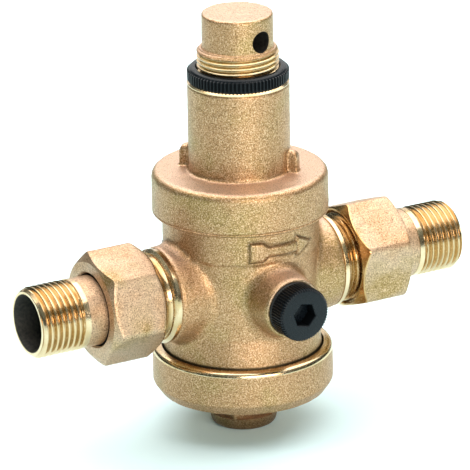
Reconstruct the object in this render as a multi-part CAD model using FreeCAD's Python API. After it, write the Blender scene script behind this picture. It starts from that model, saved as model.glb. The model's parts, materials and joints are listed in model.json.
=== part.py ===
"""Pressure reducing valve, DN15, with two male union ends.

Frame: origin at the middle of the spanner boss's lower face, +Z up along the
valve's axis, +X along the pipe from the inlet to the outlet. Millimetres.
"""

import FreeCAD
import Part
import math
import os

os.makedirs("parts", exist_ok=True)

V = FreeCAD.Vector
Z_AXIS = V(0, 0, 1)
X_AXIS = V(1, 0, 0)
ORIGIN = V(0, 0, 0)

# ---------------------------------------------------------------- driving dimensions
PIPE_Z = 45.0                 # height of the pipe's axis
HEIGHT = 127.0                # top of the adjusting screw
HALF_LENGTH = 71.0            # from the valve's axis to a pipe end

FIT = 0.05                    # radial clearance of a running or threaded fit
GAP = 0.3                     # radial clearance between pieces that do not guide each other
SEAM_TURN = 45.0              # where the seams of round faces lie

G12_R, G12_PITCH, G12_DEPTH = 10.4775, 1.814, 1.162     # male pipe ends
G34_R, G34_PITCH, G34_DEPTH = 13.22, 1.814, 1.162       # union threads
G14_R, G14_PITCH, G14_DEPTH = 6.5785, 1.337, 0.856      # gauge ports
SCREW_R, SCREW_PITCH, SCREW_DEPTH = 12.0, 1.5, 0.92     # adjusting screw

# body
NECK_R = 23.0
NECK_STEP_Z = 57.2            # lower edge of the neck
WAIST_R = 22.3
SKIRT_R = 23.7                # just above the bottom cap
SKIRT_FLARE_Z, SKIRT_TOP_Z = 23.5, 34.0
BODY_FOOT_Z = 16.0
BODY_THREAD_R = 24.0          # hidden inside the bottom cap
BODY_THREAD_TOP = 21.5
SHOULDER_Z = 66.6             # the bonnet's skirt stands here
BONNET_THREAD_R = 22.0
CLAMP_Z = 72.5                # the diaphragm lies here
CHAMBER_R = 17.5
THROAT_R = 11.5               # chambers next to the web
WEB_BOTTOM, WEB_TOP = 43.0, 49.0
LOWER_CHAMBER_TOP, UPPER_CHAMBER_FLOOR = 33.0, 57.0
PORT_BORE_R = 8.0
UNION_FACE_X = 41.5
PORT_NECK_R = 14.3
PORT_ROOT_R = 14.6
PORT_NECK_X = 27.6
COLLAR_R, COLLAR_X = 14.0, 29.8
RELIEF_R, RELIEF_X = 12.3, 31.2
BOSS_FACE_Y = 30.5
BOSS_R, BOSS_ROOT_R = 9.2, 10.0
BLEND_R = 4.0                 # cast fillets round the ports and bosses
ARROW_Z, ARROW_TURN, ARROW_RISE = 60.8, 3.8, 0.6
ARROW_HALF, ARROW_SHAFT, ARROW_HEAD, ARROW_TIP = 10.8, 1.45, 2.9, 6.3
ARROW_TAIL, ARROW_TAIL_SLOPE = 3.6, 2.2

# bonnet
FLANGE_R = 25.9
FLANGE_TOP = 79.5
FLANGE_CORNER_R = 2.2
TOWER_R = 14.93
TOWER_TOP = 106.6
SPRING_BORE_R = 12.7
THREAD_FLOOR_Z = 92.0
LUG_WIDTH, LUG_DEPTH, LUG_HEIGHT, LUG_ROUNDING = 3.6, 3.0, 6.6, 2.4
LUG_ANGLES = (-45.0, 137.0)

# lock ring and adjusting screw
RING_TOP = 110.8
RING_R, RING_TOOTH, RING_TEETH = 14.85, 0.45, 80
SCREW_FOOT_Z = 94.0
SCREW_COLLAR_TOP = 116.6
SCREW_HEAD_R = 10.4
SCREW_HOLLOW_R, SCREW_HOLLOW_TOP = 9.6, 112.0
TOMMY_R, TOMMY_Z, TOMMY_ANGLE = 3.25, 120.0, -77.0

# bottom cap
CAP_R = 26.7
CAP_TOP = 24.2
CAP_BORE_R = 24.05
CAP_FLOOR_Z, CAP_WELL_Z = 13.5, 4.0
CAP_EDGE_Z, CAP_EDGE_R, CAP_UNDERSIDE_Z = 14.3, 24.5, 11.2
BOSS_FLATS, SPANNER_R = 15.0, 10.25
FOOT_R, FOOT_Z = 9.4, 3.9
BUSH_BOSS_R, BUSH_BOSS_TOP = 12.0, 25.0

# valve trim, shown open
VALVE_LIFT = 2.5
SEAT_BORE_R, SEAT_R, SEAT_LIP_Z = 6.5, 9.0, 41.5
STEM_R, STEM_END_R = 4.5, 3.0
STEM_TOP, STEM_SHOULDER_TOP, STEM_SHOULDER_FOOT, STEM_FOOT = 81.0, 70.0, 40.2, 33.0
DISC_TOP, DISC_HEIGHT, DISC_R = SEAT_LIP_Z - VALVE_LIFT, 2.5, 8.6
HOLDER_R, HOLDER_FOOT_Z = 9.6, 30.0
PISTON_R, PISTON_FOOT_Z = 6.0, 15.5
PISTON_GROOVE_Z, PISTON_GROOVE_R = 21.0, 4.6
PISTON_SEAL_R = 0.68
BUSH_R = 9.0
BUSH_FOOT_Z, BUSH_TOP_Z = 11.6, 26.0
DIAPHRAGM_T, WASHER_R = 1.5, 11.5
SLIP_RING_T = 0.5
LOWER_PLATE_R, LOWER_PLATE_T = 12.2, 3.2
SPRING_WIRE, SPRING_MEAN_R, SPRING_TURNS = 3.0, 7.7, 6
UPPER_PLATE_T = 3.0
TRIM_NUT_AF, TRIM_NUT_T = 10.0, 3.4

# unions
NUT_AF = 30.0
NUT_CORNER_R = 2.0
NUT_BACK_CHAMFER, NUT_FACE_CHAMFER = 2.6, 1.9
NUT_FACE_X, NUT_BACK_X = 50.3, 33.0
NUT_BORE_R, NUT_SHOULDER_X = 10.85, 47.0
NUT_TURNS = {"inlet": 15.7, "outlet": 9.4}
TAIL_BORE_R, TAIL_MOUTH_R = 8.0, 8.66
TAIL_COLLAR_R, TAIL_COLLAR_X = 13.0, 46.9
GASKET_R, GASKET_T = 12.9, 2.0
TAIL_TUBE_R = 10.3
TAIL_BAND_FOOT, TAIL_THREAD_FOOT = 55.5, 58.2

# gauge plugs
PLUG_R, PLUG_TEETH, PLUG_TOOTH = 8.07, 60, 0.3
PLUG_FACE_Y, PLUG_REAR_Y, PLUG_END_Y = 36.9, 30.9, 22.0
PLUG_SOCKET_AF, PLUG_SOCKET_DEPTH, PLUG_SOCKET_TURN = 6.4, 4.4, -12.0
PLUG_HOLE_Y = 19.5
PLUG_SEAL_R, PLUG_SEAL_MEAN_R = 0.65, 7.3


# ---------------------------------------------------------------- helpers
def outline(points):
    """Closed wire through (r, z) or (r, z, corner radius) points in the XZ plane."""
    count = len(points)
    starts, ends, edges = [], [], []
    for i, point in enumerate(points):
        here = V(point[0], 0, point[1])
        before = V(points[i - 1][0], 0, points[i - 1][1]) - here
        after = V(points[(i + 1) % count][0], 0, points[(i + 1) % count][1]) - here
        if len(point) == 2:
            starts.append(here)
            ends.append(here)
            continue
        half = before.getAngle(after) / 2
        reach = point[2] / math.tan(half)
        start = here + before.normalize() * reach
        end = here + after.normalize() * reach
        bisector = (before + after).normalize()
        middle = here + bisector * (point[2] / math.sin(half) - point[2])
        edges.append(Part.Arc(start, middle, end).toShape())
        starts.append(start)
        ends.append(end)
    for i in range(count):
        follower = starts[(i + 1) % count]
        if ends[i].distanceToPoint(follower) > 1e-6:
            edges.append(Part.LineSegment(ends[i], follower).toShape())
    return Part.Wire(Part.__sortEdges__(edges))


def turned(points):
    """Solid of revolution about Z, with its seam clear of the ports."""
    solid = Part.Face(outline(points)).revolve(ORIGIN, Z_AXIS, 360)
    solid.rotate(ORIGIN, Z_AXIS, SEAM_TURN)
    return solid


def rod(radius, low, high):
    solid = Part.makeCylinder(radius, high - low, V(0, 0, low), Z_AXIS)
    solid.rotate(ORIGIN, Z_AXIS, SEAM_TURN)
    return solid


def tube(inner, outer, low, high):
    return turned([(inner, low), (outer, low), (outer, high), (inner, high)])


def thread(radius, pitch, depth, low, high):
    """Outline points of annular thread crests from low to high."""
    count = int((high - low) / pitch)
    crest = pitch / 8
    points = []
    for i in range(count):
        z = low + i * pitch
        points += [(radius, z), (radius, z + crest), (radius - depth, z + pitch / 2)]
        points += [(radius - depth, z + pitch / 2 + crest)]
    z = low + count * pitch
    return points + [(radius, z), (radius, z + crest)]


def prism(across_flats, corner_r, low, high, turn=0.0):
    """Hexagonal prism along Z with rounded corners, one corner towards +X before the turn."""
    reach = across_flats / math.sqrt(3)
    rounding = (corner_r,) if corner_r else ()
    corners = [(reach * math.cos(math.radians(60 * i)), reach * math.sin(math.radians(60 * i))) + rounding
               for i in range(6)]
    wire = outline(corners)
    wire.rotate(ORIGIN, X_AXIS, -90)
    solid = Part.Face(wire).extrude(V(0, 0, high - low))
    solid.translate(V(0, 0, low))
    solid.rotate(ORIGIN, Z_AXIS, turn)
    return solid


def serrated(radius, tooth, teeth, low, high):
    """Disc whose rim has fine vertical V-shaped serrations."""
    points = []
    for i in range(2 * teeth):
        angle = math.pi * i / teeth
        reach = radius - tooth * (i % 2)
        points.append(V(reach * math.cos(angle), reach * math.sin(angle), low))
    return Part.Face(Part.makePolygon(points + points[:1])).extrude(V(0, 0, high - low))


def torus(mean_r, section_r, z):
    return Part.makeTorus(mean_r, section_r, V(0, 0, z), Z_AXIS)


def towards_x(shape, side):
    """Turn a shape built up Z so that it points along +X or -X, at the pipe's height."""
    moved = shape.copy()
    moved.rotate(ORIGIN, V(0, 1, 0), 90 * side)
    moved.translate(V(0, 0, PIPE_Z))
    return moved


def towards_y(shape, side):
    """Turn a shape built up Z so that it points along +Y or -Y, at the pipe's height."""
    moved = shape.copy()
    moved.rotate(ORIGIN, X_AXIS, -90 * side)
    moved.translate(V(0, 0, PIPE_Z))
    return moved


def round_off(solid, radius, wanted):
    """Fillet the edges that pass the test, as far as the radius allows."""
    edges = [edge for edge in solid.Edges if wanted(edge)]
    return solid.makeFillet(radius, edges)


# ---------------------------------------------------------------- body
def body_neck():
    """Neck under the bonnet, with the bonnet's thread above its shoulder."""
    return turned([(0, NECK_STEP_Z - 1.2), (WAIST_R - 0.3, NECK_STEP_Z - 1.2), (NECK_R, NECK_STEP_Z, 0.8),
                   (NECK_R, SHOULDER_Z), (BONNET_THREAD_R, SHOULDER_Z), (BONNET_THREAD_R, CLAMP_Z - 0.8),
                   (BONNET_THREAD_R - 0.8, CLAMP_Z), (0, CLAMP_Z)])


def body_skirt():
    """Lower end of the body, which stands in the bottom cap."""
    return turned([(0, BODY_FOOT_Z), (BODY_THREAD_R - 0.8, BODY_FOOT_Z), (BODY_THREAD_R, BODY_FOOT_Z + 0.8),
                   (BODY_THREAD_R, BODY_THREAD_TOP), (SKIRT_R, BODY_THREAD_TOP + 0.3),
                   (SKIRT_R, SKIRT_FLARE_Z, 1.5), (WAIST_R - 0.1, SKIRT_TOP_Z), (0, SKIRT_TOP_Z)])


def port_neck():
    """Cast neck of one union port, up Z from the valve's axis."""
    return turned([(0, 0), (PORT_ROOT_R, 0), (PORT_ROOT_R, 12), (PORT_NECK_R, PORT_NECK_X - 1),
                   (PORT_NECK_R - 0.6, PORT_NECK_X), (0, PORT_NECK_X)])


def union_thread():
    """Machined collar, relief and union thread of one port."""
    start = RELIEF_X + 0.4
    return turned([(0, PORT_NECK_X - 2), (COLLAR_R, PORT_NECK_X - 2), (COLLAR_R, COLLAR_X - 0.9),
                   (COLLAR_R - 0.9, COLLAR_X), (RELIEF_R, COLLAR_X), (RELIEF_R, RELIEF_X)]
                  + thread(G34_R, G34_PITCH, G34_DEPTH, start, UNION_FACE_X - 1.0)
                  + [(G34_R - G34_DEPTH, UNION_FACE_X), (0, UNION_FACE_X)])


def gauge_boss():
    return turned([(0, 0), (BOSS_ROOT_R, 0), (BOSS_ROOT_R, WAIST_R - 2),
                   (BOSS_R, BOSS_FACE_Y - 1), (BOSS_R - 0.5, BOSS_FACE_Y), (0, BOSS_FACE_Y)])


def passage(side):
    """Water way of one port, from its face to the pocket beside the web."""
    pocket_x = side * (THROAT_R + 3.0)
    low, high = (30.0, PIPE_Z) if side < 0 else (PIPE_Z, UPPER_CHAMBER_FLOOR + 3.0)
    pocket = Part.makeCylinder(5.0, high - low, V(pocket_x, 0, low), Z_AXIS)
    return towards_x(rod(PORT_BORE_R, THROAT_R + 2.5, UNION_FACE_X + 1), side).fuse(pocket)


def gauge_passage(side):
    """Plug hole, its seal's counterbore and the channel up to the outlet chamber."""
    hole = rod(G14_R + FIT, PLUG_HOLE_Y, BOSS_FACE_Y + 1)
    seal_seat = rod(PLUG_SEAL_MEAN_R + 0.7, PLUG_REAR_Y - 2 * PLUG_SEAL_R, BOSS_FACE_Y + 1)
    channel_y, channel_z = 15.3, PIPE_Z + 2.0
    across = Part.makeCylinder(1.5, 6.0, V(0, side * (PLUG_HOLE_Y + 0.5), channel_z), V(0, -side, 0))
    riser = Part.makeCylinder(1.5, 12.0, V(0, side * channel_y, channel_z), Z_AXIS)
    return towards_y(hole.fuse(seal_seat), side).multiFuse([across, riser])


def flow_arrow():
    """Raised arrow on the neck that points to the outlet."""
    neck_x = ARROW_HALF - ARROW_TIP
    tail_x = ARROW_TAIL - ARROW_HALF
    lower = [(-ARROW_HALF, -ARROW_HEAD), (tail_x, -ARROW_HEAD), (tail_x + ARROW_TAIL_SLOPE, -ARROW_SHAFT),
             (neck_x, -ARROW_SHAFT), (neck_x, -ARROW_HEAD), (ARROW_HALF, 0)]
    corners = lower + [(x, -z) for x, z in reversed(lower[:-1])]
    depth = NECK_R + ARROW_RISE
    wire = Part.makePolygon([V(x, -depth, ARROW_Z + z) for x, z in corners + corners[:1]])
    return Part.Face(wire).extrude(V(0, NECK_R / 2, 0)).common(rod(depth, NECK_STEP_Z, SHOULDER_Z))


def make_body():
    outside = rod(WAIST_R, BODY_THREAD_TOP, SHOULDER_Z)
    for side in (-1, 1):
        outside = outside.fuse(towards_x(port_neck(), side)).fuse(towards_y(gauge_boss(), side))
    outside = round_off(outside, BLEND_R, is_junction)
    outside = outside.fuse(body_neck()).fuse(body_skirt())
    for side in (-1, 1):
        outside = outside.fuse(towards_x(union_thread(), side))
    arrow = flow_arrow()
    arrow.rotate(ORIGIN, Z_AXIS, ARROW_TURN)
    outside = outside.fuse(arrow)
    inside = turned([
        (0, BODY_FOOT_Z - 1), (CHAMBER_R + 2, BODY_FOOT_Z - 1), (CHAMBER_R + 2, BODY_FOOT_Z + 2),
        (CHAMBER_R, BODY_FOOT_Z + 4), (CHAMBER_R, LOWER_CHAMBER_TOP), (THROAT_R, LOWER_CHAMBER_TOP),
        (THROAT_R, WEB_BOTTOM), (SEAT_R + FIT, WEB_BOTTOM), (SEAT_R + FIT, WEB_TOP),
        (THROAT_R, WEB_TOP), (THROAT_R, UPPER_CHAMBER_FLOOR), (CHAMBER_R, UPPER_CHAMBER_FLOOR),
        (CHAMBER_R, CLAMP_Z - 1), (CHAMBER_R + 0.8, CLAMP_Z + 1), (0, CLAMP_Z + 1)])
    cutters = [passage(-1), passage(1), gauge_passage(-1), gauge_passage(1)]
    return outside.cut(inside).cut(cutters)


def is_junction(edge):
    """True for the curves where a port or boss meets the waist."""
    if edge.Curve.TypeId in ("Part::GeomCircle", "Part::GeomLine"):
        return False
    middle = edge.valueAt((edge.FirstParameter + edge.LastParameter) / 2)
    return math.hypot(middle.x, middle.y) < NECK_R + 1


# ---------------------------------------------------------------- bonnet and its screw
def bonnet_lug(angle):
    """Small cast lug beside the tower, with a rounded top and nose."""
    half = LUG_WIDTH / 2
    foot, top = FLANGE_TOP - 1, FLANGE_TOP + LUG_HEIGHT
    inner, outer = TOWER_R - 1, TOWER_R + LUG_DEPTH
    block = Part.makeBox(outer - inner, LUG_WIDTH, top - half - foot, V(inner, -half, foot))
    ridge = Part.makeCylinder(half, outer - inner, V(inner, 0, top - half), X_AXIS)
    limit = turned([(0, foot), (outer - 0.1, foot), (outer - 0.1, top, LUG_ROUNDING), (0, top)])
    lug = block.fuse(ridge).common(limit)
    lug.rotate(ORIGIN, Z_AXIS, angle)
    return lug


def make_bonnet():
    bonnet = turned([
        (SCREW_R + FIT, TOWER_TOP), (SCREW_R + FIT, THREAD_FLOOR_Z), (SPRING_BORE_R, THREAD_FLOOR_Z - 0.7),
        (SPRING_BORE_R, FLANGE_TOP), (15.5, 77.5), (15.5, CLAMP_Z + DIAPHRAGM_T + SLIP_RING_T),
        (BONNET_THREAD_R + FIT, CLAMP_Z + DIAPHRAGM_T + SLIP_RING_T), (BONNET_THREAD_R + FIT, SHOULDER_Z),
        (FLANGE_R - 0.5, SHOULDER_Z), (FLANGE_R, SHOULDER_Z + 0.5), (FLANGE_R, FLANGE_TOP, FLANGE_CORNER_R),
        (TOWER_R, FLANGE_TOP, 1.0), (TOWER_R, TOWER_TOP - 0.7), (TOWER_R - 0.7, TOWER_TOP)])
    return bonnet.multiFuse([bonnet_lug(angle) for angle in LUG_ANGLES])


def make_adjusting_screw():
    thread_top = SCREW_COLLAR_TOP - 1.5
    screw = turned(
        [(SCREW_HOLLOW_R, SCREW_FOOT_Z), (SCREW_R - SCREW_DEPTH, SCREW_FOOT_Z)]
        + thread(SCREW_R, SCREW_PITCH, SCREW_DEPTH, SCREW_FOOT_Z + 0.6, thread_top)
        + [(SCREW_R, SCREW_COLLAR_TOP - 0.9), (SCREW_R - 0.9, SCREW_COLLAR_TOP),
           (SCREW_HEAD_R, SCREW_COLLAR_TOP), (SCREW_HEAD_R, HEIGHT, 0.7), (0, HEIGHT),
           (0, SCREW_HOLLOW_TOP), (SCREW_HOLLOW_R, SCREW_HOLLOW_TOP)])
    hole = Part.makeCylinder(TOMMY_R, 4 * SCREW_HEAD_R, V(-2 * SCREW_HEAD_R, 0, TOMMY_Z), X_AXIS)
    hole.rotate(ORIGIN, Z_AXIS, TOMMY_ANGLE)
    return screw.cut(hole)


def make_lock_ring():
    rim = serrated(RING_R, RING_TOOTH, RING_TEETH, TOWER_TOP, RING_TOP)
    bevel = turned([(SCREW_R + FIT, TOWER_TOP), (RING_R - 0.4, TOWER_TOP), (RING_R, TOWER_TOP + 0.4),
                    (RING_R, RING_TOP - 0.6), (RING_R - 1.2, RING_TOP), (SCREW_R + 0.5, RING_TOP),
                    (SCREW_R + FIT, RING_TOP - 0.5)])
    return rim.common(bevel)


def make_upper_spring_plate():
    bottom = SCREW_HOLLOW_TOP - UPPER_PLATE_T
    pilot_r = SPRING_MEAN_R - SPRING_WIRE / 2 - GAP
    plate_r = SCREW_HOLLOW_R - GAP
    return turned([(0, bottom - 3), (pilot_r - 1, bottom - 3), (pilot_r, bottom - 2), (pilot_r, bottom),
                   (plate_r, bottom), (plate_r, SCREW_HOLLOW_TOP), (0, SCREW_HOLLOW_TOP)])


def make_main_spring():
    low = CLAMP_Z + DIAPHRAGM_T + LOWER_PLATE_T + SPRING_WIRE / 2
    high = SCREW_HOLLOW_TOP - UPPER_PLATE_T - SPRING_WIRE / 2
    helix = Part.makeHelix((high - low) / SPRING_TURNS, high - low, SPRING_MEAN_R)
    section = Part.Wire(Part.makeCircle(SPRING_WIRE / 2, V(SPRING_MEAN_R, 0, 0), V(0, 1, 0)))
    coil = Part.Wire(helix).makePipeShell([section], True, True)
    coil.translate(V(0, 0, low))
    return coil


# ---------------------------------------------------------------- bottom cap
def make_bottom_cap():
    cup = turned([
        (BUSH_R + FIT, BUSH_BOSS_TOP), (BUSH_R + FIT, BUSH_FOOT_Z - 0.1), (PISTON_R, BUSH_FOOT_Z - 0.1),
        (PISTON_R, CAP_WELL_Z), (0, CAP_WELL_Z), (0, 0),
        (FOOT_R, 0, 0.8), (SPANNER_R, FOOT_Z, 0.4), (SPANNER_R, CAP_UNDERSIDE_Z, 1.2),
        (CAP_EDGE_R, CAP_UNDERSIDE_Z, 1.2), (CAP_R, CAP_EDGE_Z, 1.0), (CAP_R, CAP_TOP - 1.3),
        (CAP_R - 1.1, CAP_TOP), (CAP_BORE_R, CAP_TOP), (CAP_BORE_R, CAP_FLOOR_Z),
        (BUSH_BOSS_R, CAP_FLOOR_Z), (BUSH_BOSS_R, BUSH_BOSS_TOP)])
    half, low, high = BOSS_FLATS / 2, FOOT_Z, CAP_UNDERSIDE_Z - 1.3
    ring = rod(SPANNER_R + 2, low, high)
    square = Part.makeBox(2 * half, 2 * half, high - low, V(-half, -half, low))
    return cup.cut(ring.cut(square))


def make_bottom_cap_o_ring():
    return torus(22.0, 1.2, CAP_FLOOR_Z + 1.25)


def make_piston_bush():
    return turned([(PISTON_R + FIT, BUSH_FOOT_Z), (BUSH_R, BUSH_FOOT_Z), (BUSH_R, BUSH_TOP_Z),
                   (PISTON_R + 0.6, BUSH_TOP_Z), (PISTON_R + FIT, BUSH_TOP_Z - 0.6)])


# ---------------------------------------------------------------- valve trim
def make_seat_ring():
    flange_r = THROAT_R - GAP
    return turned([(SEAT_BORE_R, SEAT_LIP_Z), (SEAT_BORE_R + 0.9, SEAT_LIP_Z, 0.2),
                   (SEAT_BORE_R + 1.2, SEAT_LIP_Z + 1.2), (SEAT_R, SEAT_LIP_Z + 1.2),
                   (SEAT_R, WEB_TOP + 0.6), (flange_r, WEB_TOP + 0.6), (flange_r, WEB_TOP + 2.4), (SEAT_BORE_R + 0.8, WEB_TOP + 2.4),
                   (SEAT_BORE_R, WEB_TOP + 1.6)])


def make_seat_gasket():
    return tube(SEAT_R + FIT, THROAT_R - GAP, WEB_TOP, WEB_TOP + 0.6)


def make_spindle():
    return turned([(0, STEM_FOOT), (STEM_END_R, STEM_FOOT), (STEM_END_R, STEM_SHOULDER_FOOT),
                   (STEM_R, STEM_SHOULDER_FOOT), (STEM_R, STEM_SHOULDER_TOP),
                   (STEM_END_R, STEM_SHOULDER_TOP),
                   (STEM_END_R, STEM_TOP - 0.5), (STEM_END_R - 0.5, STEM_TOP), (0, STEM_TOP)])


def make_valve_disc():
    return tube(STEM_END_R + FIT, DISC_R, DISC_TOP - DISC_HEIGHT, DISC_TOP)


def make_disc_washer():
    return turned([(STEM_END_R + FIT, DISC_TOP), (SEAT_BORE_R - 0.7, DISC_TOP),
                   (SEAT_BORE_R - 0.7, DISC_TOP + 0.7), (SEAT_BORE_R - 1.2, STEM_SHOULDER_FOOT),
                   (STEM_END_R + FIT, STEM_SHOULDER_FOOT)])


def make_disc_holder():
    seat_z = DISC_TOP - DISC_HEIGHT
    groove = PISTON_GROOVE_Z
    return turned([
        (0, PISTON_FOOT_Z), (PISTON_R - 0.6, PISTON_FOOT_Z), (PISTON_R, PISTON_FOOT_Z + 0.6),
        (PISTON_R, groove - 0.9), (PISTON_GROOVE_R, groove - 0.9), (PISTON_GROOVE_R, groove + 0.9),
        (PISTON_R, groove + 0.9), (PISTON_R, HOLDER_FOOT_Z), (HOLDER_R - 1.5, HOLDER_FOOT_Z),
        (HOLDER_R, HOLDER_FOOT_Z + 1.5), (HOLDER_R, DISC_TOP - 0.7), (DISC_R + FIT, DISC_TOP - 0.7),
        (DISC_R + FIT, seat_z), (STEM_END_R + FIT, seat_z), (STEM_END_R + FIT, STEM_FOOT - 0.5),
        (0, STEM_FOOT - 0.5)])


def make_piston_o_ring():
    return torus(PISTON_GROOVE_R + 0.05 + PISTON_SEAL_R, PISTON_SEAL_R, PISTON_GROOVE_Z)


def make_diaphragm_washer():
    return turned([(STEM_END_R + FIT, STEM_SHOULDER_TOP), (WASHER_R - 1.5, STEM_SHOULDER_TOP),
                   (WASHER_R, STEM_SHOULDER_TOP + 1.2), (WASHER_R, CLAMP_Z), (STEM_END_R + FIT, CLAMP_Z)])


def make_diaphragm():
    return tube(STEM_END_R + FIT, BONNET_THREAD_R - 0.1, CLAMP_Z, CLAMP_Z + DIAPHRAGM_T)


def make_slip_ring():
    low = CLAMP_Z + DIAPHRAGM_T
    return tube(15.5, BONNET_THREAD_R - 0.1, low, low + SLIP_RING_T)


def make_lower_spring_plate():
    low = CLAMP_Z + DIAPHRAGM_T
    high = low + LOWER_PLATE_T
    rim_r = SPRING_MEAN_R + SPRING_WIRE / 2 + GAP
    return turned([(STEM_END_R + FIT, low), (LOWER_PLATE_R - 0.5, low), (LOWER_PLATE_R, low + 0.5),
                   (LOWER_PLATE_R, high), (rim_r + 0.6, high + 0.8), (rim_r, high),
                   (STEM_END_R + FIT, high)])


def make_trim_nut():
    low = CLAMP_Z + DIAPHRAGM_T + LOWER_PLATE_T
    nut = prism(TRIM_NUT_AF, 0, low, low + TRIM_NUT_T)
    return nut.cut(rod(STEM_END_R + FIT, low - 1, low + TRIM_NUT_T + 1))


# ---------------------------------------------------------------- unions
def make_union_nut(turn):
    """Union nut, up Z from the valve's axis; the turn is about that outward axis."""
    corner = NUT_AF / math.sqrt(3)
    flat = NUT_AF / 2
    hexagon = prism(NUT_AF, NUT_CORNER_R, NUT_BACK_X, NUT_FACE_X, turn)
    jacket = turned([
        (0, NUT_BACK_X), (flat - 0.4, NUT_BACK_X), (corner, NUT_BACK_X + NUT_BACK_CHAMFER),
        (corner, NUT_FACE_X - NUT_FACE_CHAMFER), (flat - 0.8, NUT_FACE_X, 0.4), (0, NUT_FACE_X)])
    thread_r = G34_R + FIT
    hollow = turned([
        (0, NUT_BACK_X - 1), (thread_r + 1.0, NUT_BACK_X - 1), (thread_r + 1.0, NUT_BACK_X),
        (thread_r, NUT_BACK_X + 1.0), (thread_r, NUT_SHOULDER_X), (NUT_BORE_R, NUT_SHOULDER_X),
        (NUT_BORE_R, NUT_FACE_X - 0.4), (NUT_BORE_R + 0.5, NUT_FACE_X + 0.1), (0, NUT_FACE_X + 0.1)])
    return hexagon.common(jacket).cut(hollow)


def make_tailpiece():
    """Male pipe end, up Z from the valve's axis."""
    inner_face = UNION_FACE_X + GASKET_T
    return turned(
        [(TAIL_BORE_R, inner_face), (TAIL_COLLAR_R, inner_face), (TAIL_COLLAR_R, TAIL_COLLAR_X),
         (TAIL_TUBE_R, TAIL_COLLAR_X), (TAIL_TUBE_R, TAIL_BAND_FOOT), (G12_R - FIT, TAIL_BAND_FOOT),
         (G12_R - FIT, TAIL_THREAD_FOOT - G12_PITCH / 2),
         (G12_R - G12_DEPTH, TAIL_THREAD_FOOT - G12_PITCH / 4)]
        + thread(G12_R, G12_PITCH, G12_DEPTH, TAIL_THREAD_FOOT, HALF_LENGTH - 1.0)
        + [(G12_R - G12_DEPTH, HALF_LENGTH), (TAIL_MOUTH_R, HALF_LENGTH), (TAIL_BORE_R, HALF_LENGTH - 1.2)])


def make_union_gasket():
    return tube(TAIL_BORE_R + 0.6, GASKET_R, UNION_FACE_X, UNION_FACE_X + GASKET_T)


# ---------------------------------------------------------------- gauge plugs
def make_gauge_plug():
    """Plug, up Z from the valve's axis."""
    knurl = serrated(PLUG_R, PLUG_TOOTH, PLUG_TEETH, PLUG_REAR_Y, PLUG_FACE_Y)
    bevel = turned([(0, PLUG_REAR_Y), (PLUG_R - 0.4, PLUG_REAR_Y), (PLUG_R, PLUG_REAR_Y + 0.4),
                    (PLUG_R, PLUG_FACE_Y - 0.7), (PLUG_R - 0.7, PLUG_FACE_Y), (0, PLUG_FACE_Y)])
    shank = turned([(0, PLUG_END_Y), (G14_R - G14_DEPTH, PLUG_END_Y)]
                   + thread(G14_R, G14_PITCH, G14_DEPTH, PLUG_END_Y + 0.7, PLUG_REAR_Y - 1.9)
                   + [(G14_R - G14_DEPTH, PLUG_REAR_Y - 1.4), (G14_R - G14_DEPTH, PLUG_REAR_Y),
                      (0, PLUG_REAR_Y)])
    socket = prism(PLUG_SOCKET_AF, 0, PLUG_FACE_Y - PLUG_SOCKET_DEPTH, PLUG_FACE_Y + 1, PLUG_SOCKET_TURN)
    return knurl.common(bevel).fuse(shank).cut(socket)


def make_plug_o_ring():
    return torus(PLUG_SEAL_MEAN_R, PLUG_SEAL_R, PLUG_REAR_Y - PLUG_SEAL_R)


# ---------------------------------------------------------------- assembly
def parts():
    yield "body", make_body()
    yield "bonnet", make_bonnet()
    yield "lock_ring", make_lock_ring()
    yield "adjusting_screw", make_adjusting_screw()
    yield "upper_spring_plate", make_upper_spring_plate()
    yield "main_spring", make_main_spring()
    yield "lower_spring_plate", make_lower_spring_plate()
    yield "slip_ring", make_slip_ring()
    yield "diaphragm", make_diaphragm()
    yield "diaphragm_washer", make_diaphragm_washer()
    yield "trim_nut", make_trim_nut()
    yield "spindle", make_spindle()
    yield "seat_ring", make_seat_ring()
    yield "seat_gasket", make_seat_gasket()
    yield "disc_washer", make_disc_washer()
    yield "valve_disc", make_valve_disc()
    yield "disc_holder", make_disc_holder()
    yield "piston_o_ring", make_piston_o_ring()
    yield "piston_bush", make_piston_bush()
    yield "bottom_cap", make_bottom_cap()
    yield "bottom_cap_o_ring", make_bottom_cap_o_ring()
    for side, name in ((-1, "inlet"), (1, "outlet")):
        yield name + "_union_nut", towards_x(make_union_nut(NUT_TURNS[name]), side)
        yield name + "_tailpiece", towards_x(make_tailpiece(), side)
        yield name + "_union_gasket", towards_x(make_union_gasket(), side)
    for side, name in ((-1, "front"), (1, "rear")):
        yield name + "_gauge_plug", towards_y(make_gauge_plug(), side)
        yield name + "_plug_o_ring", towards_y(make_plug_o_ring(), side)


for node, shape in parts():
    solids = shape.Solids
    solid = solids[0] if len(solids) == 1 else shape
    solid.exportStep("parts/" + node + ".step")
    print(node, "solids", len(solids), "valid", solid.isValid(), "volume", round(solid.Volume, 1))
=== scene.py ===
"""Looks of the pressure reducing valve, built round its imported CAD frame."""

import json
import math

import bmesh
import bpy
from mathutils import Matrix, Vector, noise


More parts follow.
